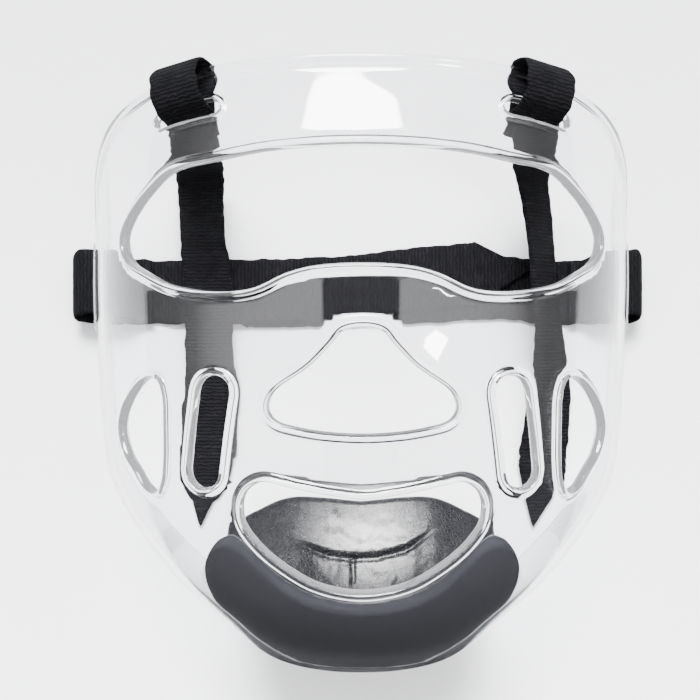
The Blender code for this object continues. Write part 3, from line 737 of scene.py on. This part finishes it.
# From its middle to its end: shares of the half width and of the sheet's length for the lining,
# and of the half width and half HEIGHT for the flap's free edge
CUP_SECTIONS = [
    # front_across, front_down, low_across, low_down, flap_across, flap_y
    (0.000, 0.797, 0.000, 0.986, 0.000, -0.505),
    (0.300, 0.786, 0.540, 0.982, 0.290, -0.490),
    (0.500, 0.757, 0.960, 0.966, 0.480, -0.492),
    (0.690, 0.702, 1.260, 0.936, 0.660, -0.535),
    (0.875, 0.705, 1.410, 0.893, 0.790, -0.570),
    (1.050, 0.744, 1.450, 0.850, 0.895, -0.585),
]
# Crease across the flap, x and y, with its depth, width and how far it fades at its ends. The skin
# below it stands a little deeper.
CREASE = [(-0.0260, -0.0640), (-0.0125, -0.0689), (-0.0027, -0.0702), (0.0067, -0.0696),
          (0.0168, -0.0670), (0.0280, -0.0600)]
CREASE_DEPTH = 0.0011
CREASE_WIDTH = 0.0008
CREASE_FADE = 0.008
BELOW_CREASE = 0.0009
# Seam that runs down from the crease
SEAM_ACROSS = -0.0030
SEAM_DEPTH = 0.0007
SEAM_WIDTH = 0.0006
SEAM_LENGTH = 0.009
# Unevenness of the skin: how close its lumps stand, and how deep they are
SKIN_LUMPS = [(240, 0.00014), (620, 0.00010)]
# Middle of the patch that the chin has rubbed smooth, and its reach across and along
RUBBED_PLACE = (0.003, -0.061)
RUBBED_REACH = (0.030, 0.026)


def bonded_vinyl():
    """The skin where it is stuck to the shell, without gloss."""
    made, tree, shader = new_material("bonded_vinyl")
    shader.inputs["Base Color"].default_value = (0.020, 0.020, 0.0225, 1)
    shader.inputs["Roughness"].default_value = 1.0
    shader.inputs["Specular IOR Level"].default_value = 0.0
    return made


def grained_vinyl():
    """Black satin vinyl with a pebbled leather grain, rubbed smooth in the middle of the flap."""
    made, tree, shader = new_material("black_vinyl")
    shader.inputs["Base Color"].default_value = (0.006, 0.006, 0.007, 1)
    shader.inputs["Specular IOR Level"].default_value = 0.10
    shader.inputs["Coat Roughness"].default_value = 0.22
    shader.inputs["Coat IOR"].default_value = 1.75
    place = tree.nodes.new("ShaderNodeTexCoord")
    centred = tree.nodes.new("ShaderNodeMapping")
    centred.inputs["Location"].default_value = (-RUBBED_PLACE[0] / RUBBED_REACH[0],
                                                -RUBBED_PLACE[1] / RUBBED_REACH[1], 0.0)
    centred.inputs["Scale"].default_value = (1 / RUBBED_REACH[0], 1 / RUBBED_REACH[1], 0.0)
    rubbed = tree.nodes.new("ShaderNodeTexGradient")
    rubbed.gradient_type = "SPHERICAL"
    polish = tree.nodes.new("ShaderNodeMapRange")
    polish.interpolation_type = "SMOOTHSTEP"
    polish.inputs["To Max"].default_value = 0.45
    link_chain(tree, (place.outputs["Object"], centred.inputs["Vector"]),
               (centred.outputs["Vector"], rubbed.inputs["Vector"]),
               (rubbed.outputs["Fac"], polish.inputs["Value"]),
               (polish.outputs["Result"], shader.inputs["Coat Weight"]))
    pebbles = tree.nodes.new("ShaderNodeTexVoronoi")
    pebbles.feature = "DISTANCE_TO_EDGE"
    pebbles.inputs["Scale"].default_value = 800.0
    fine = tree.nodes.new("ShaderNodeTexNoise")
    fine.inputs["Scale"].default_value = 1400.0
    fine.inputs["Detail"].default_value = 3.0
    warp = tree.nodes.new("ShaderNodeTexNoise")
    warp.inputs["Scale"].default_value = 500.0
    shift = tree.nodes.new("ShaderNodeVectorMath")
    shift.operation = "MULTIPLY_ADD"
    shift.inputs[1].default_value = (0.0016, 0.0016, 0.0016)
    rounded = tree.nodes.new("ShaderNodeMapRange")
    rounded.interpolation_type = "SMOOTHSTEP"
    rounded.inputs["From Max"].default_value = 0.30
    height = tree.nodes.new("ShaderNodeMath")
    height.operation = "MULTIPLY_ADD"
    height.inputs[1].default_value = 0.35
    bump = tree.nodes.new("ShaderNodeBump")
    bump.inputs["Strength"].default_value = 1.0
    bump.inputs["Distance"].default_value = 0.00012
    gloss = tree.nodes.new("ShaderNodeMapRange")
    gloss.inputs["To Min"].default_value = 0.36
    gloss.inputs["To Max"].default_value = 0.24
    link_chain(tree, (place.outputs["Object"], warp.inputs["Vector"]),
               (place.outputs["Object"], shift.inputs[2]), (warp.outputs["Color"], shift.inputs[0]),
               (shift.outputs["Vector"], pebbles.inputs["Vector"]),
               (place.outputs["Object"], fine.inputs["Vector"]),
               (pebbles.outputs["Distance"], rounded.inputs["Value"]),
               (fine.outputs["Fac"], height.inputs[0]), (rounded.outputs["Result"], height.inputs[2]),
               (height.outputs[0], bump.inputs["Height"]), (bump.outputs["Normal"], shader.inputs["Normal"]),
               (rounded.outputs["Result"], gloss.inputs["Value"]),
               (gloss.outputs["Result"], shader.inputs["Roughness"]))
    return made


def make_chin_cup():
    """Foam cup that lines the shell under the mouth and curls back into a flap behind the chin."""
    share = np.linspace(-1, 1, CUP_COLUMNS + 1)
    side = np.sign(share)
    sections = blend(CUP_SECTIONS, abs(share) * (len(CUP_SECTIONS) - 1))
    front_a, front_d, low_a, low_d, flap_a, flap_y = sections.T
    front = np.stack([side * front_a * CUP_HALF_WIDTH * LINING_REACH, front_d * SHEET], -1)
    low = np.stack([side * low_a * CUP_HALF_WIDTH * LINING_REACH, low_d * SHEET], -1)
    mix = np.linspace(0, 1, CUP_ROWS + 1)[None, :, None]
    places = front[:, None] * (1 - mix) + low[:, None] * mix
    lining = sheet_point(places) - sheet_normal(places) * CUP_GAP
    flap = np.stack([side * flap_a * CUP_HALF_WIDTH, flap_y * HEIGHT / 2,
                     np.full(len(share), CUP_FLAP_HEIGHT)], -1)
    start = lining[:, -1]
    down_wall = unit(lining[:, -1] - lining[:, -2])
    tuck = sheet_normal(low) * CUP_TUCK
    inwards = unit(np.stack([-side * flap_a * FLAP_TURN, np.ones(len(share)), np.zeros(len(share))], -1))
    rise = np.array([0.0, 0.0, CUP_SLOPE])
    reach = np.linalg.norm(flap - start, axis=1)[:, None]
    wall_handle = start + down_wall * reach * WALL_HANDLE - tuck
    flap_handle = flap + (rise - inwards) * reach * FLAP_HANDLE
    s = np.linspace(0, 1, CUP_ROWS + 1)[None, 1:, None]
    curl = ((1 - s) ** 3 * start[:, None] + 3 * s * (1 - s) ** 2 * wall_handle[:, None]
            + 3 * s * s * (1 - s) * flap_handle[:, None] + s ** 3 * flap[:, None])
    outer = np.concatenate([lining, curl], axis=1) - shell_centre
    normal = unit(np.cross(np.gradient(outer, axis=0), np.gradient(outer, axis=1)))
    if normal[CUP_COLUMNS // 2, CUP_ROWS // 2, 2] < 0:
        normal = -normal
    inner = outer - normal * CUP_THICKNESS
    # The inner face has no sharp folds where the outer one turns
    for _ in range(CUP_SMOOTHING):
        soft = inner.copy()
        soft[1:-1, 1:-1] = (inner[:-2, 1:-1] + inner[2:, 1:-1] + inner[1:-1, :-2] + inner[1:-1, 2:]) / 4
        inner = soft
    x, y = inner[..., 0], inner[..., 1]
    crease_x, crease_y = np.array(CREASE).T
    beside = y - np.interp(x, crease_x, crease_y)
    fade = np.clip((crease_x[-1] - x) / CREASE_FADE, 0, 1) * np.clip((x - crease_x[0]) / CREASE_FADE, 0, 1)
    sunk = CREASE_DEPTH * np.exp(-(beside / CREASE_WIDTH) ** 2) * fade
    along_seam = (beside < 0) * (beside > -SEAM_LENGTH)
    sunk += SEAM_DEPTH * np.exp(-((x - SEAM_ACROSS) / SEAM_WIDTH) ** 2) * along_seam
    sunk += BELOW_CREASE * (beside < 0) * fade
    for pace, depth in SKIN_LUMPS:
        lumps = np.array([noise.noise(spot) for spot in inner.reshape(-1, 3) * pace])
        sunk += depth * lumps.reshape(x.shape)
    inside_up = unit(np.cross(np.gradient(inner, axis=0), np.gradient(inner, axis=1)))
    if inside_up[CUP_COLUMNS // 2, 3 * CUP_ROWS // 2, 2] < 0:
        inside_up = -inside_up
    flap_part = (np.arange(inner.shape[1]) > CUP_ROWS)[None, :]
    inner = inner - inside_up * (sunk * flap_part)[..., None]
    # Rounded edges: both faces run together over the last millimetres
    step_a = np.linalg.norm(np.diff(outer, axis=0), axis=-1)
    step_b = np.linalg.norm(np.diff(outer, axis=1), axis=-1)
    from_start = np.concatenate([np.zeros((1, outer.shape[1])), np.cumsum(step_a, 0)])
    from_front = np.concatenate([np.zeros((outer.shape[0], 1)), np.cumsum(step_b, 1)], 1)
    to_edge = np.minimum(np.minimum(from_start, from_start[-1:] - from_start),
                         np.minimum(from_front, from_front[:, -1:] - from_front))
    close = np.sqrt(np.clip(1 - (1 - np.clip(to_edge / CUP_ROUND, 0, 1)) ** 2, 0, 1))[..., None]
    middle = (outer + inner) / 2
    outer = middle + (outer - middle) * close
    inner = middle + (inner - middle) * close
    wide, deep = outer.shape[:2]
    number = np.arange(wide * deep).reshape(wide, deep)
    back = number + wide * deep
    border = np.zeros((wide, deep), bool)
    border[0], border[-1], border[:, 0], border[:, -1] = True, True, True, True
    back[border] = number[border]
    faces = []
    for i in range(wide - 1):
        for j in range(deep - 1):
            faces.append((number[i, j], number[i + 1, j], number[i + 1, j + 1], number[i, j + 1]))
            faces.append((back[i, j], back[i, j + 1], back[i + 1, j + 1], back[i + 1, j]))
    verts = np.concatenate([outer.reshape(-1, 3), inner.reshape(-1, 3)])
    cup = mesh_piece("chin_cup_pad", verts, faces, grained_vinyl())
    cup.data.materials.append(bonded_vinyl())
    kinds = np.zeros(len(faces), int)
    kinds[0::2] = np.tile(np.arange(deep - 1) < CUP_ROWS * BONDED_SHARE, wide - 1)
    cup.data.polygons.foreach_set("material_index", kinds)
    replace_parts(cup, "chin_cup")


make_chin_cup()

# Floor, light and camera: a pale table under a white tent that is darker low down, with two bright
# panels and a gap overhead for the camera. All of it is staged.
FLOOR_SIZE = 6.0
FLOOR_DROP = 0.0004
FLOOR_BLEND = 0.14
bpy.ops.mesh.primitive_plane_add(size=FLOOR_SIZE, location=(0, 0, -FLOOR_DROP))
floor = bpy.context.object
floor.name = "floor"
floor_finish, floor_tree, floor_shader = new_material("floor")
# The floor's colour is painted paler towards the chin: painted light, standing in for the floor being lit
# more brightly there
floor_place = floor_tree.nodes.new("ShaderNodeTexCoord")
floor_split = floor_tree.nodes.new("ShaderNodeSeparateXYZ")
floor_painted_light_share = floor_tree.nodes.new("ShaderNodeMapRange")
floor_painted_light_share.inputs["From Min"].default_value = FLOOR_BLEND
floor_painted_light_share.inputs["From Max"].default_value = -FLOOR_BLEND
floor_painted_light = floor_tree.nodes.new("ShaderNodeMix")
floor_painted_light.data_type = "RGBA"
floor_painted_light.inputs["A"].default_value = (0.758, 0.765, 0.789, 1)
floor_painted_light.inputs["B"].default_value = (0.985, 0.99, 1.0, 1)
link_chain(floor_tree, (floor_place.outputs["Object"], floor_split.inputs[0]),
           (floor_split.outputs["Y"], floor_painted_light_share.inputs["Value"]),
           (floor_painted_light_share.outputs["Result"], floor_painted_light.inputs["Factor"]),
           (floor_painted_light.outputs["Result"], floor_shader.inputs["Base Color"]))
floor_shader.inputs["Roughness"].default_value = 0.75
floor.data.materials.append(floor_finish)

# A black card stands by the chin, seen only in what the shell throws back: a painted dark reflection that
# keeps the floor out of the shell there
CARD_SIZE = (0.60, 0.20)
CARD_BACK = -0.117
bpy.ops.mesh.primitive_plane_add(size=1.0, location=(0, CARD_BACK, CARD_SIZE[1] / 2),
                                 rotation=(math.pi / 2, 0, 0))
dark_reflection_card = bpy.context.object
dark_reflection_card.name = "painted_dark_reflection_card"
dark_reflection_card.scale = (*CARD_SIZE, 1.0)
card_finish, card_tree, card_shader = new_material("dark_reflection_card")
card_shader.inputs["Base Color"].default_value = (0.040, 0.040, 0.042, 1)
card_shader.inputs["Specular IOR Level"].default_value = 0.0
# Light that has passed through the sheet, and not come back from it, misses the card
card_path = card_tree.nodes.new("ShaderNodeLightPath")
came_back = card_tree.nodes.new("ShaderNodeMath")
came_back.operation = "MODULO"
came_back.inputs[1].default_value = 2.0
nothing = card_tree.nodes.new("ShaderNodeBsdfTransparent")
card_mix = card_tree.nodes.new("ShaderNodeMixShader")
link_chain(card_tree, (card_path.outputs["Ray Depth"], came_back.inputs[0]),
           (came_back.outputs[0], card_mix.inputs["Fac"]), (nothing.outputs["BSDF"], card_mix.inputs[1]),
           (card_shader.outputs["BSDF"], card_mix.inputs[2]),
           (card_mix.outputs["Shader"], card_tree.nodes["Material Output"].inputs["Surface"]))
dark_reflection_card.data.materials.append(card_finish)
dark_reflection_card.visible_camera = False
dark_reflection_card.visible_diffuse = False
dark_reflection_card.visible_shadow = False

CAMERA_PLACE = (-0.0042, 0.0084, 0.600)
FOCAL_PIXELS = 1524
FRAME_PIXELS = 700
SENSOR = 36.0
camera_data = bpy.data.cameras.new("camera")
camera_data.sensor_width = SENSOR
camera_data.lens = SENSOR * FOCAL_PIXELS / FRAME_PIXELS
camera = bpy.data.objects.new("camera", camera_data)
camera.location = CAMERA_PLACE
bpy.context.scene.collection.objects.link(camera)
bpy.context.scene.camera = camera

# How bright the tent is by height, and how much of that is left towards the chin
TENT_BY_HEIGHT = [(0.0, 0.48), (0.12, 0.58), (0.34, 0.66), (0.50, 1.05), (0.66, 2.3), (0.80, 2.9),
                  (1.0, 3.1)]
TENT_CHIN_SHARE = 0.22
CHIN_FADE = (-0.75, 0.05)
TENT_TOP = 4.0
# Half width of the gap overhead, how softly it ends, where it ends along the mask, and its light
CAMERA_GAP = 0.190
GAP_SOFT = 0.012
GAP_ENDS = (0.40, 0.46)
GAP_LEVEL = 0.08
# Corners of the two bright panels, as directions, their strength and how softly each ends
BROW_PANEL = [(-0.285, 0.530, 0.800), (-0.175, 0.770, 0.610), (-0.020, 0.800, 0.600),
              (0.150, 0.700, 0.700), (0.200, 0.530, 0.830)]
SIDE_PANEL = [(0.315, 0.040, 0.948), (0.320, 0.105, 0.941), (0.372, 0.130, 0.919),
              (0.440, 0.100, 0.892), (0.385, 0.025, 0.923)]
PANEL_STRENGTH = 110.0
BROW_SOFT = 0.012
SIDE_SOFT = 0.006
world = bpy.data.worlds.new("tent")
bpy.context.scene.world = world
world.use_nodes = True
tent = world.node_tree


def tent_node(kind, **settings):
    """Node of the tent with these settings."""
    made = tent.nodes.new(kind)
    for name, value in settings.items():
        setattr(made, name, value)
    return made


def tent_math(operation, *values):
    """Math node whose inputs are numbers or other nodes' outputs."""
    made = tent_node("ShaderNodeMath", operation=operation)
    for n, value in enumerate(values):
        if isinstance(value, (int, float)):
            made.inputs[n].default_value = value
        else:
            tent.links.new(value, made.inputs[n])
    return made.outputs[0]


def soft_step(value, low, high):
    """Nought below low, one above high, and smooth between."""
    made = tent_node("ShaderNodeMapRange", interpolation_type="SMOOTHSTEP")
    tent.links.new(value, made.inputs["Value"])
    made.inputs["From Min"].default_value = low
    made.inputs["From Max"].default_value = high
    return made.outputs["Result"]


def panel_mask(corners, soft):
    """One inside the panel with these corner directions, falling to nothing past its edges."""
    mask = None
    centre = sum((Vector(c) for c in corners), Vector()).normalized()
    for a, b in zip(corners, corners[1:] + corners[:1]):
        side = Vector(a).cross(Vector(b)).normalized()
        if side.dot(centre) < 0:
            side.negate()
        dot = tent_node("ShaderNodeVectorMath", operation="DOT_PRODUCT")
        tent.links.new(direction, dot.inputs[0])
        dot.inputs[1].default_value = side
        edge = soft_step(dot.outputs["Value"], -soft, soft)
        mask = edge if mask is None else tent_math("MULTIPLY", mask, edge)
    return mask


direction = tent_node("ShaderNodeTexCoord").outputs["Generated"]
parts = tent_node("ShaderNodeSeparateXYZ")
tent.links.new(direction, parts.inputs[0])
across_tent, along_tent, up_tent = parts.outputs
by_height = tent_node("ShaderNodeValToRGB")
tent.links.new(up_tent, by_height.inputs["Fac"])
stops = by_height.color_ramp.elements
while len(stops) > 1:
    stops.remove(stops[-1])
for n, (height, level) in enumerate(TENT_BY_HEIGHT):
    stop = stops[0] if n == 0 else stops.new(height)
    stop.position = height
    stop.color = (level / TENT_TOP, level / TENT_TOP, level / TENT_TOP, 1)
tent_level = tent_math("MULTIPLY", by_height.outputs["Color"], TENT_TOP)
towards_chin = soft_step(along_tent, *CHIN_FADE)
chin_share = tent_math("MULTIPLY_ADD", towards_chin, 1 - TENT_CHIN_SHARE, TENT_CHIN_SHARE)
tent_level = tent_math("MULTIPLY", tent_level, chin_share)
beside_gap = soft_step(tent_math("ABSOLUTE", across_tent), CAMERA_GAP - GAP_SOFT, CAMERA_GAP + GAP_SOFT)
past_gap = soft_step(tent_math("ABSOLUTE", along_tent), *GAP_ENDS)
open_tent = tent_math("MAXIMUM", beside_gap, past_gap)
gap_share = tent_math("MULTIPLY_ADD", open_tent, 1 - GAP_LEVEL, GAP_LEVEL)
tent_level = tent_math("MULTIPLY", tent_level, gap_share)
brow_light = tent_math("MULTIPLY", panel_mask(BROW_PANEL, BROW_SOFT), PANEL_STRENGTH)
side_light = tent_math("MULTIPLY", panel_mask(SIDE_PANEL, SIDE_SOFT), PANEL_STRENGTH)
tent_level = tent_math("ADD", tent_level, tent_math("ADD", brow_light, side_light))
background = tent.nodes["Background"]
background.inputs["Color"].default_value = (0.985, 0.99, 1.0, 1)
tent.links.new(tent_level, background.inputs["Strength"])
